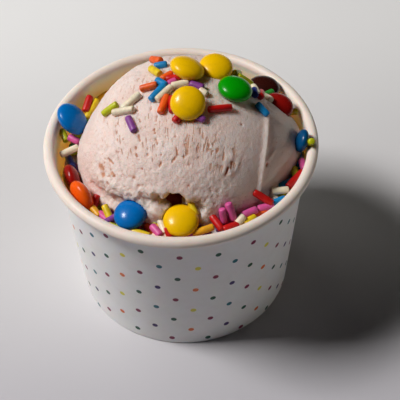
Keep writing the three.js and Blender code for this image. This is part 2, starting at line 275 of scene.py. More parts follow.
# Sugar colours, linear. Two candies take lit and shaded copies of their kind: the brown one in the hollow is painted
# lighter, as painted light where it lies in shade, and the blue one at the right is painted darker, as painted shade
# from the scoop.
SHELLS = {
    "yellow": (0.93, 0.545, 0.001),
    "green": (0.001, 0.31, 0.001),
    "blue": (0.0005, 0.155, 0.50),
    "orange": (0.90, 0.11, 0.004),
    "red": (0.28, 0.006, 0.004),
    "brown": (0.035, 0.006, 0.004),
    # Painted light: a lighter copy of the brown coat for the candy in the shaded hollow.
    "brown_painted_lighter": (0.20, 0.016, 0.008),
    # Painted shade: a darker copy of the blue coat for the candy in the scoop's shadow.
    "blue_painted_darker": (0.001, 0.065, 0.18),
}
PAINTED_LIGHT_SHELLS = {"candy_brown_hollow": "brown_painted_lighter", "candy_blue_right": "blue_painted_darker"}
SUGARS = {
    "red": (0.60, 0.008, 0.006),
    "orange": (0.86, 0.12, 0.010),
    "amber": (0.86, 0.42, 0.010),
    "yellow": (0.84, 0.60, 0.012),
    "lime": (0.55, 0.58, 0.010),
    "green": (0.03, 0.30, 0.04),
    "blue": (0.008, 0.24, 0.55),
    "navy": (0.012, 0.03, 0.22),
    "purple": (0.26, 0.06, 0.30),
    "pink": (0.70, 0.10, 0.33),
    "cream": (0.88, 0.77, 0.56),
}

# Paper and ink colours, linear
PAPER_WHITE = (0.86, 0.85, 0.84)
PAPER_SHADE = (0.83, 0.815, 0.80)
# The rim's cream and its cloud tone are partly the paper's own tint and partly painted warm glow of light coming
# through the rolled paper.
RIM_CREAM_AND_GLOW = (0.87, 0.77, 0.69)
RIM_SHADE = (0.84, 0.73, 0.63)
# Warm tan of the lining: partly its own tint, partly painted glow of light coming through the paper and bounced from
# the gelato
LINING_TAN_AND_GLOW = (0.98, 0.60, 0.39)
INKS = {
    "magenta": (0.22, 0.002, 0.05),
    "green": (0.004, 0.075, 0.04),
    "yellow": (0.72, 0.66, 0.06),
    "orange": (0.74, 0.15, 0.02),
    "teal": (0.004, 0.14, 0.18),
    "violet": (0.035, 0.01, 0.12),
}

# Gelato colours, linear
CREAM = (0.80, 0.62, 0.545)
PALE_CREAM = (0.83, 0.69, 0.63)
# Painted shade that cracks, drag dashes and cut hollows darken towards, also the colour of the gelato's own flecks
SHADE_AND_FLECK_CREAM = (0.58, 0.26, 0.14)

# Heights in m at which the lining turns warm tan, from the top down, and pale again at the foot. The tan is partly
# the lining's own tint and partly painted glow of light coming through the paper.
TAN_AND_GLOW_HEIGHTS = (72 * MM, 64 * MM)
FOOT_PALE = (9 * MM, 15 * MM)

# How light passes through the wall's outside and through its lining
PAPER_GLOW = {"Subsurface_Weight": 0.6, "Subsurface_Radius": (1, 0.6, 0.4), "Subsurface_Scale": 0.3 * MM}
LINING_GLOW = {"Subsurface_Weight": 1, "Subsurface_Radius": (1, 0.5, 0.28), "Subsurface_Scale": 4 * MM}

# How dark the clouds in a sugar coat are, as a share of its colour
SHELL_SHADE = 0.92
SPRINKLE_SHADE = 0.75

# Depth of the bump in each finish, in mm
PAPER_BUMP = 0.03
SHELL_BUMP = 0.05
SPRINKLE_BUMP = 0.12
GELATO_BUMP = 0.4

# Sprinkles, in mm. Softening rounds a rod and thins it, so it starts wider by this factor.
SPRINKLE_RADIUS = 1.3
SPRINKLE_SPREAD = (0.93, 1.05)
SPRINKLE_BEND = 0.9
BEND_SHIFT = 0.1
SPRINKLE_SINK = 0.4
SPRINKLE_SIDES = 8
SPRINKLE_BANDS = 7
SPRINKLE_BLUNTNESS = 0.55
SOFTENING = 1.18
SPRINKLE_SEED = 5

# Sprinkles on the scoop: colour, bearing, drop, turn from straight downhill in degrees, length
SCOOP_SPRINKLES = [
    ("orange", 114, 35, 14, 6.5),
    ("blue", 117, 25, 62, 5),
    ("yellow", 130, 22, -8, 7),
    ("red", 122, 9, 60, 5.5),
    ("orange", 167, 18, 16, 6.5),
    ("blue", 155, 12, -24, 5.5),
    ("blue", 186, 13, 45, 8.5),
    ("cream", 196, 10, 30, 8),
    ("cream", 120, 3, 73, 6.5),
    ("orange", 224, 14, 24, 8),
    ("red", 241, 12, 28, 7),
    ("red", 261, 18, -29, 5.5),
    ("purple", 291, 19.8, 40, 5),
    ("purple", 11, 7, -33, 5.5),
    ("pink", 140, 7, 69, 3.4),
    ("cream", 344, 10.5, -22, 3.6),
    ("red", 326, 22, 50, 9),
    ("cream", 186, 27.5, 27, 8.5),
    ("lime", 182, 41, 6, 7),
    ("cream", 193, 33, -27, 9),
    ("purple", 212, 33, 75, 7),
    ("blue", 354, 44, -30, 6),
    ("lime", 38, 40, 21, 7.5),
    ("lime", 28, 41, -19, 7.5),
    ("navy", 11, 41, 72, 5),
    ("cream", 16, 44, 72, 7.5),
    ("red", 13, 47, 56, 7),
    ("cream", 20, 60, 76, 6.5),
    ("orange", 128, 13, -90, 5),
]

# Sprinkles heaped in the gutter: colour, x, y, z of the middle, heading in plan and climb in degrees, length
GUTTER_SPRINKLES = [
    ("lime", 46.2, -6, 72.2, 104, -50, 7),
    ("pink", 43.5, -11.6, 66.5, 95, -11, 6),
    ("red", 40.1, -19.3, 67.2, 49, 4, 9),
    ("cream", 34.2, -25.3, 68.3, 6, 0, 6.3),
    ("cream", 31.3, -25.6, 66, 131, 0, 6),
    ("blue", 33.3, -28.8, 66.8, 24, -1, 6),
    ("red", 27.8, -29.8, 70.1, 158, 26, 8),
    ("pink", 28.7, -31.8, 67.2, 13, 0, 6),
    ("pink", 22.9, -34.6, 68, 27, 0, 6),
    ("orange", 26.9, -33.1, 66, 6, -2, 5),
    ("yellow", 22.7, -37.4, 67, 41, 0, 5.5),
    ("cream", 19.2, -38.5, 68.2, 43, 23, 5),
    ("red", 11.3, -39, 68.2, 124, 16, 6.5),
    ("red", 16.1, -40.4, 67.6, 21, 3, 6),
    ("pink", 14.4, -36.9, 66, 177, 0, 6),
    ("pink", 13.5, -37.4, 70, 118, 72, 6),
    ("pink", 16.3, -36.3, 70.8, 128, 63, 7),
    ("amber", 6.4, -41.8, 67.8, 15, 9, 8),
    ("pink", 0, -42.5, 67.1, 176, 0, 6),
    ("red", -5.3, -42.4, 67.6, 112, 46, 5),
    ("cream", -7.4, -39, 67.3, 107, 12, 6),
    ("amber", -8.7, -37, 65.8, 102, -6, 6),
    ("pink", -9.6, -40.7, 67.4, 124, 5, 5.5),
    ("cream", -8.5, -42.4, 65.8, 177, 0, 6),
    ("yellow", -15, -41, 66.4, 155, -2, 7),
    ("lime", -11.2, -34.4, 66.8, 125, 17, 6.5),
    ("yellow", -26.6, -30.5, 66.2, 113, 23, 6),
    ("purple", -25.5, -33.4, 65.6, 29, 8, 6),
    ("pink", -28, -31, 64.4, 129, -3, 5.5),
    ("lime", -23.8, -37, 65.2, 152, 0, 6),
    ("amber", -30.9, -28.5, 64.5, 121, 5, 5.5),
    ("red", -31.6, -24.6, 63.6, 64, 34, 8),
    ("red", -34.5, 23, 67.6, 73, 17, 7),
    ("yellow", -33, 21.8, 66, 62, 14, 9),
    ("lime", -43.2, 8.6, 65.6, 112, 14, 5.5),
    ("pink", -39.2, 5.3, 66.7, 147, 5, 5),
    ("cream", -40.9, 0.7, 65.6, 24, 8, 7.5),
    ("yellow", 40.9, 11.6, 70.6, 12, -8, 5.5),
    ("green", 33.4, 18.2, 74, 25, 5, 4),
    ("yellow", 3.2, -34.7, 71.6, 294, -32, 6),
]

# The heap under and round them: tries, lengths and depth in mm, swing and climb in degrees, and the share of its
# depth that the low layer takes
HEAP_TRIES = 5200
HEAP_LENGTHS = (6, 9)
HEAP_DEPTH = 3.4
HEAP_SWING = 60
HEAP_CLIMB = 16
LOW_LAYER = 0.15
HEAP_SEED = 11

# How close a heaped sprinkle may come to others, to the wall and to a candy, as shares of touching
HEAP_CLEARANCE = 0.9
WALL_CLEARANCE = 0.9
CANDY_CLEARANCE = 0.98

# Stretches of the gutter where only the low layer is heaped: bearing, half-width in degrees
BARE_BEARINGS = [(8, 22), (163, 16), (332, 28)]

# Floor, in m: half its side, and where its tone changes along Y, from grey at the front to nearly white at the back.
# The change of tone is painted light: painted shade towards the front and painted light towards the back.
FLOOR_HALF = 3
FLOOR_NEAR = (-0.11, 0.03)
FLOOR_FAR = (0.02, 0.17)
FLOOR_PAINTED_LIGHT = {"front": (0.52, 0.505, 0.54), "middle": (0.68, 0.67, 0.67), "back": (0.90, 0.90, 0.885)}
FLOOR_CLOUD = (0.3, 0.3, 0.3)
FLOOR_CLOUD_SHARE = 0.05

# Light panels aimed at one place: bearing, climb, distance and size in m, power in W, colour, seen in gloss or not
LIGHT_AIM = Vector((0, 0, 0.05))
LIGHTS = {
    "window": (176.5, 52, 1.6, (0.5, 0.36), 26, (1, 0.98, 0.98), True),
    "low_fill": (3, -0.8, 1.5, (1.1, 0.05), 2.9, (1, 0.95, 0.88), False),
    "far_wall": (132, 34, 1.6, (0.9, 0.9), 2.2, (1, 0.98, 0.9), False),
}
ROOM_COLOUR = (1, 0.99, 0.98)
ROOM_STRENGTH = 0.004

# Camera: where it is and what it looks at in mm, its roll in degrees, and its focal length and frame in mm
CAMERA_PLACE = (0, -323.98, 400.45)
CAMERA_TARGET = (6.44, 0, 36.56)
CAMERA_ROLL = -1.366
CAMERA_LENS = 114.53
CAMERA_SENSOR = 36


# ---- Directions and the scoop's surface

def direction(bearing, drop):
    b, d = math.radians(bearing), math.radians(drop)
    return Vector((math.sin(d) * math.cos(b), math.sin(d) * math.sin(b), math.cos(d)))


def bearing_gap(a, b):
    return (a - b + 180) % 360 - 180


def bearing_of(point):
    return math.degrees(math.atan2(point.y, point.x))


def angle_between(a, b):
    return math.degrees(math.acos(max(-1, min(1, a.dot(b)))))


def smoothstep(low, high, value):
    t = max(0, min(1, (value - low) / (high - low)))
    return t * t * (3 - 2 * t)


def noise_layers(layers, p):
    """Noise summed from layers of a size and a height."""
    return sum(height * noise.noise(p / size) for size, height in layers)


def peaks(rows):
    return [(direction(bearing, drop), spread, height) for bearing, drop, spread, height in rows]


def mounds(n, placed):
    """Height at a direction of round mounds, each given by its peak, its spread in degrees and its height."""
    return sum(height * math.exp(-((angle_between(n, peak) / spread) ** 2)) for peak, spread, height in placed)


def crack_line(crack, depth):
    """A crack's line, its depth, its middle and the cosine from that middle past which it isn't felt."""
    ends = [direction(*end) for end in crack]
    middle = sum(ends, Vector()).normalized()
    return ends, depth, middle, min(middle.dot(end) for end in ends) - CRACK_REACH


SWELL_PEAKS = peaks(SWELLS)
RAKE_PEAKS = peaks(RAKE_MARKS)
CRUMB_PEAKS = peaks(CRUMBS)
FOLD_LINES = [([direction(*end) for end in line], half, height) for line, half, height in FOLDS]
CRACK_LINES = [crack_line(*row) for row in CRACKS]
RAKE_AXIS = direction(*RAKE_END)
RAKE_SIDE = RAKE_AXIS.orthogonal().normalized()
RAKE_UP = RAKE_AXIS.cross(RAKE_SIDE)
SCOOP_SPAN = SCOOP_HALF.x


def line_distance(n, line):
    """Distance in degrees from a direction to the nearest stretch of a line of directions."""
    nearest = 180
    for start, end in zip(line, line[1:]):
        run = end - start
        along = max(0, min(1, (n - start).dot(run) / run.length_squared))
        nearest = min(nearest, math.degrees((n - start - run * along).length))
    return nearest


def relief(bearing, drop, ragged=0):
    """How far the scoop stands out from its plain ellipsoid, with the lip's edge moved by ragged degrees."""
    n = direction(bearing, drop)
    out = mounds(n, SWELL_PEAKS)
    for b, d, wide, tall, depth in LIP_HOLLOWS:
        away = (bearing_gap(bearing + ragged, b) / wide) ** 2 + ((drop + ragged - d) / tall) ** 2
        out -= depth * math.exp(-(away ** 2))
    for line, half, height in FOLD_LINES:
        away = line_distance(n, line) / half
        out += height * math.exp(-(away ** 2))
    return out


def drag_place(n):
    """Where a direction lies in the fan of drag marks: across them and along them, in mm."""
    away = math.acos(max(-1, min(1, n.dot(RAKE_AXIS))))
    flat = n - RAKE_AXIS * n.dot(RAKE_AXIS)
    return SCOOP_SPAN * math.atan2(flat.dot(RAKE_SIDE), flat.dot(RAKE_UP)), SCOOP_SPAN * away


def on_scoop(bearing, drop, out):
    q = direction(bearing, drop) * SCOOP_HALF
    return SCOOP_CENTRE + q * ((q.length + out) / q.length)


def tears(bearing, drop, p):
    """How far marks and grain stand out from the smooth scoop in mm, how deeply it is cut, which the finish paints as
    shade, and how dragged it is.
    """
    n = direction(bearing, drop)
    off_smooth = smoothstep(*SMOOTH_HALF, abs(bearing_gap(bearing, SMOOTH_MIDDLE)))
    rough = SMOOTH_SHARE + (1 - SMOOTH_SHARE) * off_smooth
    dragged = min(1, mounds(n, RAKE_PEAKS))
    across, along = drag_place(n)
    lane_width, lane_length, lane_height = LANE
    out = dragged * lane_height * noise.noise(Vector((across / lane_width, along / lane_length, 0)))
    dash_width, dash_length, dash_depth = DASH
    dash = smoothstep(*DASH_EDGE, noise.noise(Vector((across / dash_width, along / dash_length, DASH_LAYER))))
    cut = dragged * dash_depth * dash

    wander_size, wander = CRACK_WANDER
    break_size, *break_edge = CRACK_BREAKS
    for line, depth, middle, reach in CRACK_LINES:
        if n.dot(middle) > reach:
            away = (line_distance(n, line) + wander * noise.noise(p / wander_size)) / CRACK_HALF
            part = smoothstep(*break_edge, noise.noise(p / break_size + CRACK_SHIFT))
            cut += depth * math.exp(-(away ** 2)) * part

    spacing, bubble_radius, bubble_depth = BUBBLES
    pick_scale, pick_above = BUBBLE_PICK
    distances, points = noise.voronoi(p / spacing)
    if noise.noise(points[0] * pick_scale) > pick_above:
        cut += bubble_depth * rough * max(0, 1 - (distances[0] / bubble_radius) ** 2)

    crumbs = mounds(n, CRUMB_PEAKS)
    if crumbs > LEAST_CRUMBS:
        cut_size, *cut_edge = CRUMB_CUTS
        out += crumbs * noise_layers(CRUMB_LUMPS, p)
        cut += crumbs * CRUMB_CUT_DEPTH * smoothstep(*cut_edge, noise.noise(p / cut_size + CRUMB_SHIFT))

    for b, d, wide, tall, depth in PITS:
        away = (bearing_gap(bearing, b) / wide) ** 2 + ((drop - d) / tall) ** 2
        if away < PIT_REACH:
            cut += depth * math.exp(-away) * (1 + noise_layers(PIT_ROUGHNESS, p))

    out += rough * noise_layers(GRAIN, p)
    return out - CUT_DEPTH * cut, cut, dragged


def pocketed(p, pockets):
    """Draws a point of the gelato back to the underside of any candy that presses into it."""
    way = p - SCOOP_CENTRE
    for middle, face, radius, half in pockets:
        if (p - middle).length_squared > (radius + POCKET_NEAR) ** 2:
            continue
        squash = 1 / half - 1 / radius

        def sized(v):
            return v / radius + face * (v.dot(face) * squash)

        start, step = sized(SCOOP_CENTRE - middle), sized(way)
        a, b, c = step.dot(step), start.dot(step), start.dot(start) - 1
        within = b * b - a * c
        if within > 0:
            entry, leave = (-b - math.sqrt(within)) / a, (-b + math.sqrt(within)) / a
            if 0 < entry < 1 < leave + POCKET_LIP / way.length:
                way = way * entry
                p = SCOOP_CENTRE + way
    return p


def gutter_level(bearing):
    return GUTTER_LEVEL + sum(
        height * math.exp(-((bearing_gap(bearing, b) / spread) ** 2)) for b, spread, height in GUTTER_RISES)


def foot_drop(level):
    """The drop at which the scoop meets a level of the gutter."""
    return math.degrees(math.acos((level - SCOOP_CENTRE.z) / SCOOP_HALF.z))


def wall_outer(z):
    return FOOT_RADIUS + (WALL_TOP_RADIUS - FOOT_RADIUS) * z / CUP_HEIGHT


def wall_inner(z):
    return wall_outer(z) - PAPER


# ---- Making pieces

def turned(profile, steps, closed=False):
    """A bmesh turned round Z from a chain of (radius, height) points."""
    bm = bmesh.new()
    chain = [bm.verts.new((r, 0, z)) for r, z in profile]
    ends = chain[1:] + chain[:1] if closed else chain[1:]
    edges = [bm.edges.new(pair) for pair in zip(chain, ends)]
    bmesh.ops.spin(bm, geom=chain + edges, cent=(0, 0, 0), axis=(0, 0, 1), dvec=(0, 0, 0),
                   angle=math.tau, steps=steps, use_merge=True)
    bmesh.ops.remove_doubles(bm, verts=bm.verts, dist=WELD)
    bmesh.ops.recalc_face_normals(bm, faces=bm.faces)
    return bm


def add_piece(name, bm, finishes, nodes):
    """Turns a mesh in millimetres into a piece that rides with the cup and stands for nodes."""
    bmesh.ops.scale(bm, vec=(MM, MM, MM), verts=bm.verts)
    for face in bm.faces:
        face.smooth = True
    mesh = bpy.data.meshes.new(name)
    bm.to_mesh(mesh)
    bm.free()
    for finish in finishes:
        mesh.materials.append(finish)
    piece = bpy.data.objects.new(name, mesh)
    bpy.context.scene.collection.objects.link(piece)
    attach(piece, "root")
    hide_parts(*nodes)
    return piece


# ---- Node groups and materials

class Wiring:
    """Short ways to add and join shader nodes in one tree."""

    def __init__(self, tree):
        self.tree = tree

    def add(self, kind, **settings):
        node = self.tree.nodes.new(kind)
        for key, value in settings.items():
            setattr(node, key, value)
        return node

    def feed(self, socket, value):
        if isinstance(value, bpy.types.NodeSocket):
            self.tree.links.new(value, socket)
        else:
            socket.default_value = value

    def math(self, operation, *values):
        node = self.add("ShaderNodeMath", operation=operation)
        for socket, value in zip(node.inputs, values):
            self.feed(socket, value)
        return node.outputs[0]

    def blend(self, factor, a, b):
        node = self.add("ShaderNodeMix", data_type="RGBA")
        colours = [socket for socket in node.inputs if socket.type == "RGBA"]
        self.feed(node.inputs[0], factor)
        self.feed(colours[0], a)
        self.feed(colours[1], b)
        return next(socket for socket in node.outputs if socket.type == "RGBA")

    def ramp(self, value, low, high, to_low=0, to_high=1):
        node = self.add("ShaderNodeMapRange", interpolation_type="SMOOTHSTEP")
        for name, number in (("From Min", low), ("From Max", high), ("To Min", to_low), ("To Max", to_high)):
            self.feed(node.inputs[name], number)
        self.feed(node.inputs["Value"], value)
        return node.outputs["Result"]

    def parts(self, vector):
        """X, Y and Z of a vector."""
        split = self.add("ShaderNodeSeparateXYZ")
        self.feed(split.inputs[0], vector)
        return split.outputs

    def place(self):
        return self.add("ShaderNodeTexCoord").outputs["Object"]

    def grain(self, size, detail=2, rough=0.5, stretch=(1, 1, 1)):
        """Noise on the object's own coordinates, with features of a size in mm."""
        mapping = self.add("ShaderNodeMapping")
        mapping.inputs["Scale"].default_value = [s / (size * MM) for s in stretch]
        self.feed(mapping.inputs["Vector"], self.place())
        node = self.add("ShaderNodeTexNoise")
        self.feed(node.inputs["Vector"], mapping.outputs["Vector"])
        node.inputs["Scale"].default_value = 1
        node.inputs["Detail"].default_value = detail
        node.inputs["Roughness"].default_value = rough
        return node.outputs[0]


def opaque(colour):
    return (*colour, 1)


def new_group(name, inputs, outputs):
    tree = bpy.data.node_groups.new(name, "ShaderNodeTree")
    for label, kind in inputs:
        tree.interface.new_socket(label, in_out="INPUT", socket_type=kind)
    for label, kind in outputs:
        tree.interface.new_socket(label, in_out="OUTPUT", socket_type=kind)
    wiring = Wiring(tree)
    return tree, wiring, wiring.add("NodeGroupInput").outputs, wiring.add("NodeGroupOutput").inputs


def sugar_surface():
    """Unevenness of a sugar coat: cloudy colour, a roughness that drifts and shallow waves."""
    tree, wiring, given, made = new_group(
        "sugar_surface",
        [("Colour", "NodeSocketColor"), ("Shade", "NodeSocketColor"), ("Roughness", "NodeSocketFloat")],
        [("Colour", "NodeSocketColor"), ("Roughness", "NodeSocketFloat"), ("Height", "NodeSocketFloat")])
    clouds = wiring.ramp(wiring.grain(2.4, detail=3), 0.35, 0.75)
    specks = wiring.ramp(wiring.grain(0.35, detail=1), 0.62, 0.75)
    tinted = wiring.blend(clouds, given["Colour"], given["Shade"])
    wiring.feed(made["Colour"], wiring.blend(wiring.math("MULTIPLY", specks, 0.25), tinted, given["Shade"]))
    drift = wiring.math("MULTIPLY_ADD", clouds, 0.1, given["Roughness"])
    wiring.feed(made["Roughness"], drift)
    waves = wiring.math("MULTIPLY_ADD", wiring.grain(0.5, detail=1), 0.25, wiring.grain(1.8, detail=2))
    wiring.feed(made["Height"], waves)
    return tree


def paper_surface():
    """Coated board: faint clouding of the colour and the felt marks that show in its gloss."""
    tree, wiring, given, made = new_group(
        "paper_surface",
        [("Colour", "NodeSocketColor"), ("Shade", "NodeSocketColor")],
        [("Colour", "NodeSocketColor"), ("Roughness", "NodeSocketFloat"), ("Height", "NodeSocketFloat")])
    clouds = wiring.grain(6, detail=4, rough=0.6)
    fibres = wiring.grain(0.5, detail=3, rough=0.6, stretch=(1, 1, 0.35))
    wiring.feed(made["Colour"], wiring.blend(wiring.ramp(clouds, 0.4, 0.75), given["Colour"], given["Shade"]))
    wiring.feed(made["Roughness"], wiring.ramp(fibres, 0.3, 0.7, 0.42, 0.56))
    wiring.feed(made["Height"], wiring.math("MULTIPLY_ADD", fibres, 0.6, clouds))
    return tree


def new_material(name, **settings):
    """A material, its wiring and its shader, with the shader's plain values set on its own sockets."""
    material = bpy.data.materials.new(name)
    material.use_nodes = True
    shader = material.node_tree.nodes["Principled BSDF"]
    for label, value in settings.items():
        shader.inputs[label.replace("_", " ")].default_value = value
    return material, Wiring(material.node_tree), shader


def use_group(wiring, tree, **values):
    node = wiring.add("ShaderNodeGroup", node_tree=tree)
    for label, value in values.items():
        wiring.feed(node.inputs[label], value)
    return node.outputs


def bump(wiring, shader, height, distance):
    """Raises a shader's surface by a height, whose full rise is a distance in mm."""
    node = wiring.add("ShaderNodeBump")
    node.inputs["Distance"].default_value = distance * MM
    wiring.feed(node.inputs["Height"], height)
    wiring.feed(shader.inputs["Normal"], node.outputs["Normal"])


def lay(wiring, shader, made, distance, colour=None):
    """Joins what a surface group makes to a shader, with another colour in place of the group's if one is given."""
    wiring.feed(shader.inputs["Base Color"], made["Colour"] if colour is None else colour)
    wiring.feed(shader.inputs["Roughness"], made["Roughness"])
    bump(wiring, shader, made["Height"], distance)


SUGAR = sugar_surface()
BOARD = paper_surface()


def darker(colour, share):
    return tuple(c * share for c in colour)


def shell_finish(name, colour):
    """The glossy coat of a lentil."""
    material, wiring, shader = new_material(
        f"sugar_shell_{name}", IOR=1.3, Specular_IOR_Level=0.4, Coat_Weight=0.3, Coat_IOR=1.35, Coat_Roughness=0.1)
    shade = opaque(darker(colour, SHELL_SHADE))
    made = use_group(wiring, SUGAR, Colour=opaque(colour), Shade=shade, Roughness=0.26)
    lay(wiring, shader, made, SHELL_BUMP)
    return material


def sprinkle_finish(name, colour):
    """The duller, slightly see-through sugar of a sprinkle."""
    material, wiring, shader = new_material(
        f"sugar_rod_{name}", Specular_IOR_Level=0.45, Subsurface_Weight=0.15, Subsurface_Scale=1 * MM)
    shade = opaque(darker(colour, SPRINKLE_SHADE))
    made = use_group(wiring, SUGAR, Colour=opaque(colour), Shade=shade, Roughness=0.36)
    lay(wiring, shader, made, SPRINKLE_BUMP)
    return material


def gelato_finish():
    """Pale pink cream with fine grain, its own flecks and broken hairline cracks along the drag. The cracks, the drag
    dashes and the cut hollows are darkened with painted shade, deeper where the cut is deeper.
    """
    material, wiring, shader = new_material(
        "gelato_cream", Specular_IOR_Level=0.35, Subsurface_Weight=0.7,
        Subsurface_Radius=(1, 0.65, 0.5), Subsurface_Scale=4.5 * MM)
    clouds = wiring.ramp(wiring.grain(9, detail=4, rough=0.6), 0.35, 0.7)
    surface = wiring.blend(clouds, opaque(PALE_CREAM), opaque(CREAM))
    cut_shade_fac = wiring.add("ShaderNodeAttribute", attribute_name="cut_shade").outputs["Fac"]
    raked = wiring.add("ShaderNodeAttribute", attribute_name="rake").outputs["Fac"]
    drag = wiring.add("ShaderNodeUVMap", uv_map="drag").outputs["UV"]

    def along_drag(across_mm, along_mm, detail=1):
        """Noise drawn out along the drag, with features of two sizes in mm."""
        mapping = wiring.add("ShaderNodeMapping")
        wiring.feed(mapping.inputs["Vector"], drag)
        mapping.inputs["Scale"].default_value = (1 / across_mm, 1 / along_mm, 1)
        strands = wiring.add("ShaderNodeTexNoise")
        wiring.feed(strands.inputs["Vector"], mapping.outputs["Vector"])
        strands.inputs["Scale"].default_value = 1
        strands.inputs["Detail"].default_value = detail
        return strands.outputs[0]

    strand = wiring.math("ABSOLUTE", wiring.math("SUBTRACT", along_drag(3, 40), 0.5))
    hairline = wiring.ramp(strand, 0.012, 0.04, 1, 0)
    broken = wiring.ramp(along_drag(2.2, 3.4, detail=3), 0.5, 0.58)
    patches = wiring.ramp(wiring.grain(13, detail=1), 0.38, 0.5)
    cracks = wiring.math("MULTIPLY", wiring.math("MULTIPLY", hairline, broken),
                         wiring.math("MULTIPLY", patches, wiring.ramp(raked, 0.2, 0.8)))
    dashes = wiring.ramp(along_drag(0.7, 2.6, detail=2), 0.6, 0.7)
    dashes = wiring.math("MULTIPLY", dashes, wiring.ramp(raked, 0.2, 0.9))
    flecks = wiring.ramp(wiring.grain(0.9, detail=2), 0.66, 0.72)

    # Painted shade in the cracks, the dashes and the cut hollows, deeper with the cut's depth, and the gelato's own
    # flecks
    shade_and_flecks = wiring.math("MULTIPLY_ADD", cracks, 0.75, wiring.ramp(cut_shade_fac, 0.1, 0.7, 0, 0.9))
    shade_and_flecks = wiring.math("MULTIPLY_ADD", dashes, 0.13, shade_and_flecks)
    shade_and_flecks = wiring.math("MULTIPLY_ADD", flecks, 0.4, shade_and_flecks)
    wiring.feed(shader.inputs["Base Color"],
                wiring.blend(wiring.math("MINIMUM", shade_and_flecks, 0.9), surface, opaque(SHADE_AND_FLECK_CREAM)))
    wiring.feed(shader.inputs["Roughness"], wiring.ramp(wiring.grain(2.2, detail=3), 0.3, 0.7, 0.42, 0.62))
    fine = wiring.math("MULTIPLY_ADD", wiring.grain(0.5, detail=3, rough=0.6), 0.7, wiring.grain(1.6, detail=3))
    carved = wiring.math("MULTIPLY_ADD", cracks, -1, wiring.math("MULTIPLY_ADD", dashes, -0.18, fine))
    bump(wiring, shader, carved, GELATO_BUMP)
    return material


def rim_paper():
    """Coated paper of the rolled rim, a little creamier than the wall: the cream is partly the paper's own tint and
    partly painted warm glow of light coming through the rolled paper.
    """
    material, wiring, shader = new_material("rim_paper", Specular_IOR_Level=0.4, **PAPER_GLOW)
    made = use_group(wiring, BOARD, Colour=opaque(RIM_CREAM_AND_GLOW), Shade=opaque(RIM_SHADE))
    lay(wiring, shader, made, PAPER_BUMP)
    return material


def lining_paper():
    """Coated paper inside the cup: a warm tan below the rim, partly its own tint and partly painted glow of light
    coming through the paper and bounced from the gelato, with real light coming through as well, and pale at the
    foot.
    """
    material, wiring, shader = new_material("coated_paper", Specular_IOR_Level=0.4, **LINING_GLOW)
    made = use_group(wiring, BOARD, Colour=opaque(RIM_CREAM_AND_GLOW), Shade=opaque(RIM_SHADE))
    height = wiring.parts(wiring.place())["Z"]
    ragged = wiring.math("MULTIPLY_ADD", wiring.grain(7, detail=2), 3 * MM, height)
    # Painted glow over the lining's own tan: warm tan between the foot and the rim
    tan_and_glow = wiring.math("MULTIPLY", wiring.ramp(ragged, *TAN_AND_GLOW_HEIGHTS), wiring.ramp(height, *FOOT_PALE))
    lay(wiring, shader, made, PAPER_BUMP, wiring.blend(tan_and_glow, made["Colour"], opaque(LINING_TAN_AND_GLOW)))
    return material


def printed_paper():
    """Coated paper with a lattice of dots in six inks, on the flat sheet's own coordinates."""
    material, wiring, shader = new_material("printed_paper", Specular_IOR_Level=0.4, **PAPER_GLOW)
    made = use_group(wiring, BOARD, Colour=opaque(PAPER_WHITE), Shade=opaque(PAPER_SHADE))
    sheet = wiring.parts(wiring.add("ShaderNodeUVMap", uv_map="print").outputs["UV"])
    column, row = sheet["X"], sheet["Y"]

    # Dots sit where column and row are both even or both odd, so their half sum and half difference are whole.
    half_sum = wiring.math("ROUND", wiring.math("MULTIPLY", wiring.math("ADD", column, row), 0.5))
    half_gap = wiring.math("ROUND", wiring.math("MULTIPLY", wiring.math("SUBTRACT", column, row), 0.5))
    near_column = wiring.math("ADD", half_sum, half_gap)
    near_row = wiring.math("SUBTRACT", half_sum, half_gap)
    across = wiring.math("MULTIPLY", wiring.math("SUBTRACT", column, near_column), DOT_PITCH[0])
    down = wiring.math("MULTIPLY", wiring.math("SUBTRACT", row, near_row), DOT_PITCH[1])
    away = wiring.math("SQRT", wiring.math("ADD", wiring.math("POWER", across, 2), wiring.math("POWER", down, 2)))
    printed_row = wiring.math("GREATER_THAN", near_row, -0.5)
    round_dot = wiring.ramp(away, DOT_RADIUS - DOT_EDGE, DOT_RADIUS + DOT_EDGE, 1, 0)
    dot = wiring.math("MULTIPLY", round_dot, printed_row)

    def part(value, size):
        return wiring.math("FLOORED_MODULO", value, size)

    odd = wiring.math("GREATER_THAN", part(near_column, 2), 0.5)
    even_ink = wiring.blend(wiring.math("GREATER_THAN", part(half_sum, 2), 0.5),
                            opaque(INKS["magenta"]), opaque(INKS["green"]))
    late_row = wiring.math("GREATER_THAN", part(near_row, 4), 2)
    late_column = wiring.math("GREATER_THAN", part(near_column, 4), 2)
    warm = wiring.blend(late_row, opaque(INKS["yellow"]), opaque(INKS["orange"]))
    cool = wiring.blend(late_row, opaque(INKS["teal"]), opaque(INKS["violet"]))
    ink = wiring.blend(odd, even_ink, wiring.blend(late_column, warm, cool))
    lay(wiring, shader, made, PAPER_BUMP, wiring.blend(dot, made["Colour"], ink))
    return material


# ---- Paper cup

def sheet_place(z, angle):
    """Column and row of the printed lattice at a height and an angle round the wall from the front."""
    slant = math.hypot(WALL_TOP_RADIUS - FOOT_RADIUS, CUP_HEIGHT)
    taper = (WALL_TOP_RADIUS - FOOT_RADIUS) / slant
    reach = FOOT_RADIUS / taper + z * slant / CUP_HEIGHT
    u = reach * math.sin(angle * taper)
    v = reach * math.cos(angle * taper) - FOOT_RADIUS / taper
    cos, sin = math.cos(math.radians(DOT_TILT)), math.sin(math.radians(DOT_TILT))
    x, y = cos * u + sin * v, cos * v - sin * u
    return (x - DOT_START[0]) / DOT_PITCH[0], (DOT_START[1] - y) / DOT_PITCH[1]


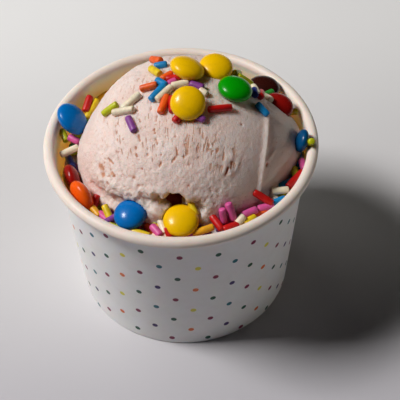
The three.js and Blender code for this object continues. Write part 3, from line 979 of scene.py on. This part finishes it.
def arc(centre, radius, start, end, steps):
    angles = [math.radians(start + (end - start) * i / steps) for i in range(steps + 1)]
    return [(centre[0] + radius * math.cos(a), centre[1] + radius * math.sin(a)) for a in angles]


def cup_wall():
    """One sheet of board in section: folded in at the foot, up the wall and rolled out over the rim."""
    curl = (RIM_RADIUS - CURL_RADIUS - PAPER / 2, CUP_HEIGHT - CURL_RADIUS - PAPER / 2)
    rim_start = OUTER_HEIGHTS[-1]

    def hem_outer(z):
        return wall_inner(z) - GAP - PAPER - GAP

    outer = [(wall_outer(z), z) for z in OUTER_HEIGHTS]
    foot = arc((wall_outer(FOOT_FOLD) - FOOT_FOLD, FOOT_FOLD), FOOT_FOLD, -90, 0, FOOT_STEPS)
    rolled = arc(curl, CURL_RADIUS - PAPER / 2, 180, 180 - CURL_TURN, CURL_STEPS)
    rolled += reversed(arc(curl, CURL_RADIUS + PAPER / 2, 180, 180 - CURL_TURN, CURL_STEPS))
    inner = [(wall_inner(z), z) for z in INNER_HEIGHTS]
    hem = [(hem_outer(PAPER), PAPER), (hem_outer(HEM_HEIGHT), HEM_HEIGHT),
           (hem_outer(HEM_HEIGHT) - PAPER, HEM_HEIGHT), (hem_outer(0) - PAPER, 0)]
    bm = turned(foot + outer[1:] + rolled + inner + hem, CUP_SIDES, closed=True)

    def outside(p):
        return p.xy.length > wall_outer(p.z) - PAPER / 2 and p.z < rim_start

    finishes = [lining_paper(), printed_paper(), rim_paper()]
    lining, printed, rim = range(len(finishes))
    sheet = bm.loops.layers.uv.new("print")
    for face in bm.faces:
        middle = face.calc_center_median()
        face.material_index = printed if outside(middle) else rim if middle.z > rim_start else lining
        face_angle = math.atan2(middle.x, -middle.y)
        for loop in face.loops:
            p = loop.vert.co
            turn = (math.atan2(p.x, -p.y) - face_angle + math.pi) % math.tau - math.pi
            loop[sheet].uv = sheet_place(p.z, face_angle + turn)

    # The sheet's end laps over its start at the back, and its edge shows as a small step. The rim waves a little.
    for vert in bm.verts:
        p = vert.co
        lap = math.radians(bearing_of(p) - SEAM_BEARING) * wall_outer(p.z)
        if outside(p) and 0 <= lap <= SEAM_WIDTH:
            raised = SEAM_STEP * (1 - (lap / SEAM_WIDTH) ** 2)
            p.xy = p.xy * (1 + raised / p.xy.length)
        if p.z > rim_start:
            p.z += noise_layers(RIM_WAVE, Vector((p.x, p.y, 0))) - RIM_SETTLING
    add_piece("paper_wall", bm, finishes, ["cup_wall"])


def coat_cup_floor():
    """The floor of the cup keeps its solid and takes the lining's paper."""
    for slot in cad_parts["cup_floor"].material_slots:
        slot.material = bpy.data.materials["coated_paper"]


# ---- Gelato

def gelato_body():
    """The filling and its scoop in one turned body, whose rings are then laid on the true surface."""
    first_gutter = 2 + WALL_RINGS
    scoop_foot = first_gutter + GUTTER_RINGS
    last = scoop_foot + SCOOP_RINGS
    profile = [(0 if i in (0, last) else 1, i) for i in range(last + 1)]
    bm = turned(profile, GELATO_SIDES)
    # Cut depth at each point, which the finish paints as shade
    cut_shade = bm.verts.layers.float.new("cut_shade")
    rake = bm.verts.layers.float.new("rake")
    pockets = candy_seats(GAP)
    for vert in bm.verts:
        ring = round(vert.co.z)
        even = bearing_of(vert.co)
        bearing = even - math.degrees(FRONT_CROWDING * math.sin(math.radians(even - FRONT)))
        level = gutter_level(bearing) - GUTTER_SINK
        around = Vector((math.cos(math.radians(bearing)), math.sin(math.radians(bearing)), 0))
        lowest = foot_drop(level)
        edge = around * (wall_inner(level) - GAP) + Vector((0, 0, level))
        if ring == 0:
            p = Vector((0, 0, GELATO_BOTTOM))
        elif ring < first_gutter:
            z = GELATO_BOTTOM + (level - GELATO_BOTTOM) * (ring - 1) / (first_gutter - 1)
            p = around * (wall_inner(z) - GAP) + Vector((0, 0, z))
        elif ring < scoop_foot:
            foot = on_scoop(bearing, lowest, relief(bearing, lowest))
            p = edge.lerp(foot, (ring - first_gutter + 1) / (GUTTER_RINGS + 1))
            p.z += noise_layers(GUTTER_GRAIN, p)
        else:
            drop = lowest * (last - ring) / SCOOP_RINGS
            plain = on_scoop(bearing, drop, 0)
            ragged = noise_layers(LIP_RAGGEDNESS, plain)
            out, vert[cut_shade], vert[rake] = tears(bearing, drop, plain)
            p = on_scoop(bearing, drop, relief(bearing, drop, ragged) + out)
        vert.co = pocketed(p, pockets)
    bmesh.ops.recalc_face_normals(bm, faces=bm.faces)
    drag = bm.loops.layers.uv.new("drag")
    for vert in bm.verts:
        place = drag_place(((vert.co - SCOOP_CENTRE) / SCOOP_SPAN).normalized())
        for loop in vert.link_loops:
            loop[drag].uv = place
    add_piece("gelato_scoop", bm, [gelato_finish()], ["gelato"])


# ---- Candies

def candy_place(name):
    low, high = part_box(name)
    return (low + high) / (2 * MM)


def candy_seats(room=0):
    """Where each candy lies: its middle, the way it faces, its radius and half-thickness, with room round it."""
    return [(candy_place(name), direction(bearing, 90 - climb), radius + room, half + room)
            for name, (_, bearing, climb, radius, half) in CANDIES.items()]


def turn_to(axis):
    return Vector((0, 0, 1)).rotation_difference(axis).to_matrix().to_4x4()


def add_candy(name, finish, slot, bearing, climb, radius, half):
    bm = bmesh.new()
    bmesh.ops.create_uvsphere(bm, u_segments=LENTIL_SIDES, v_segments=LENTIL_RINGS, radius=1)
    middle = candy_place(name)
    turn = turn_to(direction(bearing, 90 - climb))
    place = Matrix.Translation(middle) @ turn @ Matrix.Diagonal((radius, radius, half, 1))
    bmesh.ops.transform(bm, matrix=place, verts=bm.verts)
    for vert in bm.verts:
        away = vert.co - middle
        vert.co = middle + away * (1 + noise_layers(LENTIL_WAVE, vert.co))
    add_piece(name.replace("candy", "lentil"), bm, [finish], [name])


def add_candies():
    shells = {name: shell_finish(name, colour) for name, colour in SHELLS.items()}
    for name, (tint, *pose) in CANDIES.items():
        add_candy(name, shells[PAINTED_LIGHT_SHELLS.get(name, tint)], f"candy_{tint}", *pose)


# ---- Sprinkles

def rod(bm, centre, axis, length, radius, bend):
    """A blunt rod of sugar with a slight bend, made in a shared mesh a little over size for its softening."""
    made = bmesh.ops.create_uvsphere(bm, u_segments=SPRINKLE_SIDES, v_segments=SPRINKLE_BANDS, radius=1)
    straight = length / 2 - radius * SPRINKLE_BLUNTNESS
    for vert in made["verts"]:
        p = vert.co
        flat = p.xy.length
        if flat > WELD:
            p.xy *= SOFTENING * radius * math.sqrt(flat) / flat
        p.z = p.z * radius * SPRINKLE_BLUNTNESS + math.copysign(straight, p.z)
        p.x += bend * ((p.z / length) ** 2 - BEND_SHIFT)
    bmesh.ops.transform(bm, matrix=Matrix.Translation(centre) @ turn_to(axis), verts=made["verts"])


def scoop_rod(bearing, drop, turn, length):
    """A rod lying on the scoop: its middle, the way it points and its length."""
    step = 0.5

    def at(b, d, lift=0):
        return on_scoop(b, d, relief(b, d) + lift)

    downhill = (at(bearing, drop + step) - at(bearing, drop - step)).normalized()
    side = at(bearing + step, drop) - at(bearing - step, drop)
    across = (side - downhill * side.dot(downhill)).normalized()
    axis = downhill * math.cos(math.radians(turn)) + across * math.sin(math.radians(turn))
    return at(bearing, drop, SPRINKLE_RADIUS - SPRINKLE_SINK), axis, length


def gutter_rod(x, y, z, heading, climb, length):
    return Vector((x, y, z)), direction(heading, 90 - climb), length


def rod_gap(a, b):
    """Least distance between the middle lines of two rods, by stepping along the first."""
    (ca, xa, la), (cb, xb, lb) = a, b
    reach = lb / 2 - SPRINKLE_RADIUS
    steps = 3

    def gap_at(i):
        p = ca + xa * (la / 2 - SPRINKLE_RADIUS) * i / steps
        along = max(-reach, min(reach, (p - cb).dot(xb)))
        return (p - cb - xb * along).length

    return min(gap_at(i) for i in range(-steps, steps + 1))


def room_for(candidate, rods, candies):
    """Whether a rod stays inside the wall and clear of the scoop, the candies and the other rods."""
    centre, axis, length = candidate
    tip = SPRINKLE_RADIUS / 2
    for share in (-1, -0.5, 0, 0.5, 1):
        p = centre + axis * (length / 2 - tip) * share
        if p.xy.length > wall_inner(p.z) - GAP - SPRINKLE_RADIUS * WALL_CLEARANCE:
            return False
        inside = (p - SCOOP_CENTRE) * Vector((1 / s for s in SCOOP_HALF))
        if inside.length < 1:
            return False
        for middle, face, radius, half in candies:
            away = p - middle
            up = away.dot(face)
            flat = math.sqrt(max(0, away.length_squared - up * up))
            closeness = math.hypot(flat / (radius + SPRINKLE_RADIUS), up / (half + SPRINKLE_RADIUS))
            if closeness < CANDY_CLEARANCE:
                return False
    least = 2 * SPRINKLE_RADIUS * HEAP_CLEARANCE
    for other in rods:
        near = (other[0] - centre).length < (other[2] + length) / 2
        if near and rod_gap(candidate, other) < least:
            return False
    return True


def heap(rods):
    """Sprinkles that fill the gutter round and under the others, wherever there is room."""
    rng = random.Random(HEAP_SEED)
    candies = candy_seats()
    colours = sorted(SUGARS)
    found = []
    for attempt in range(HEAP_TRIES):
        low = attempt < HEAP_TRIES / 2
        bearing = rng.uniform(0, 360)
        lift = (LOW_LAYER if low else 1) * rng.uniform(0, HEAP_DEPTH)
        level = gutter_level(bearing) - GUTTER_SINK + SPRINKLE_RADIUS + lift
        foot = on_scoop(bearing, foot_drop(level), relief(bearing, foot_drop(level)))
        radius = rng.uniform(foot.xy.length, wall_inner(level) - SPRINKLE_RADIUS)
        around = direction(bearing, 90) * radius
        heading = bearing + 90 + rng.uniform(-HEAP_SWING, HEAP_SWING)
        climb = rng.uniform(-HEAP_CLIMB, HEAP_CLIMB)
        candidate = gutter_rod(around.x, around.y, level, heading, climb, rng.uniform(*HEAP_LENGTHS))
        colour = rng.choice(colours)
        bare = any(abs(bearing_gap(bearing, b)) < half for b, half in BARE_BEARINGS)
        if (low or not bare) and room_for(candidate, rods, candies):
            rods.append(candidate)
            found.append((colour, candidate))
    return found


def add_sprinkles():
    rng = random.Random(SPRINKLE_SEED)
    placed = [(colour, scoop_rod(*row)) for colour, *row in SCOOP_SPRINKLES]
    placed += [(colour, gutter_rod(*row)) for colour, *row in GUTTER_SPRINKLES]
    placed += heap([found for _, found in placed])
    for colour, tone in SUGARS.items():
        bm = bmesh.new()
        for own, (centre, axis, length) in placed:
            if own == colour:
                radius = SPRINKLE_RADIUS * rng.uniform(*SPRINKLE_SPREAD)
                rod(bm, centre, axis, length, radius, rng.uniform(-SPRINKLE_BEND, SPRINKLE_BEND))
        piece = add_piece(f"sprinkles_{colour}", bm, [sprinkle_finish(colour, tone)], ["gelato"])
        soft = piece.modifiers.new("soft", "SUBSURF")
        soft.levels = 1
        soft.render_levels = 1


# ---- Floor, light and camera

def add_floor():
    bm = bmesh.new()
    bmesh.ops.create_grid(bm, x_segments=1, y_segments=1, size=FLOOR_HALF)
    mesh = bpy.data.meshes.new("floor")
    bm.to_mesh(mesh)
    bm.free()
    material, wiring, shader = new_material("pale_floor", Roughness=0.5, Specular_IOR_Level=0.25)
    clouds = wiring.ramp(wiring.grain(160, detail=3), 0.3, 0.7)
    back = wiring.parts(wiring.place())["Y"]
    front, middle, far = (opaque(FLOOR_PAINTED_LIGHT[name]) for name in ("front", "middle", "back"))
    # The floor's tone runs from painted shade at the front to painted light at the back.
    near = wiring.blend(wiring.ramp(back, *FLOOR_NEAR), front, middle)
    tone = wiring.blend(wiring.ramp(back, *FLOOR_FAR), near, far)
    clouded = wiring.blend(wiring.math("MULTIPLY", clouds, FLOOR_CLOUD_SHARE), tone, opaque(FLOOR_CLOUD))
    wiring.feed(shader.inputs["Base Color"], clouded)
    mesh.materials.append(material)
    floor = bpy.data.objects.new("floor", mesh)
    bpy.context.scene.collection.objects.link(floor)


def add_light(name, bearing, climb, distance, size, power, colour, mirrored):
    data = bpy.data.lights.new(name, "AREA")
    data.shape = "RECTANGLE"
    data.size, data.size_y = size
    data.energy = power
    data.color = colour
    light = bpy.data.objects.new(name, data)
    away = direction(bearing, 90 - climb)
    light.location = LIGHT_AIM + away * distance
    light.rotation_euler = away.to_track_quat("Z", "Y").to_euler()
    light.visible_glossy = mirrored
    bpy.context.scene.collection.objects.link(light)


def add_camera():
    data = bpy.data.cameras.new("camera")
    data.lens = CAMERA_LENS
    data.sensor_width = CAMERA_SENSOR
    camera = bpy.data.objects.new("camera", data)
    place = Vector(CAMERA_PLACE) * MM
    look = (Vector(CAMERA_TARGET) * MM - place).to_track_quat("-Z", "Y").to_matrix().to_4x4()
    roll = Matrix.Rotation(math.radians(CAMERA_ROLL), 4, "Z")
    camera.matrix_world = Matrix.Translation(place) @ look @ roll
    bpy.context.scene.collection.objects.link(camera)
    bpy.context.scene.camera = camera


def set_light():
    for name, panel in LIGHTS.items():
        add_light(name, *panel)
    world = bpy.data.worlds.new("room")
    world.use_nodes = True
    background = world.node_tree.nodes["Background"]
    background.inputs["Color"].default_value = opaque(ROOM_COLOUR)
    background.inputs["Strength"].default_value = ROOM_STRENGTH
    bpy.context.scene.world = world
    bpy.context.scene.view_settings.view_transform = "Standard"


add_camera()
set_light()
add_floor()
cup_wall()
coat_cup_floor()
gelato_body()
add_candies()
add_sprinkles()
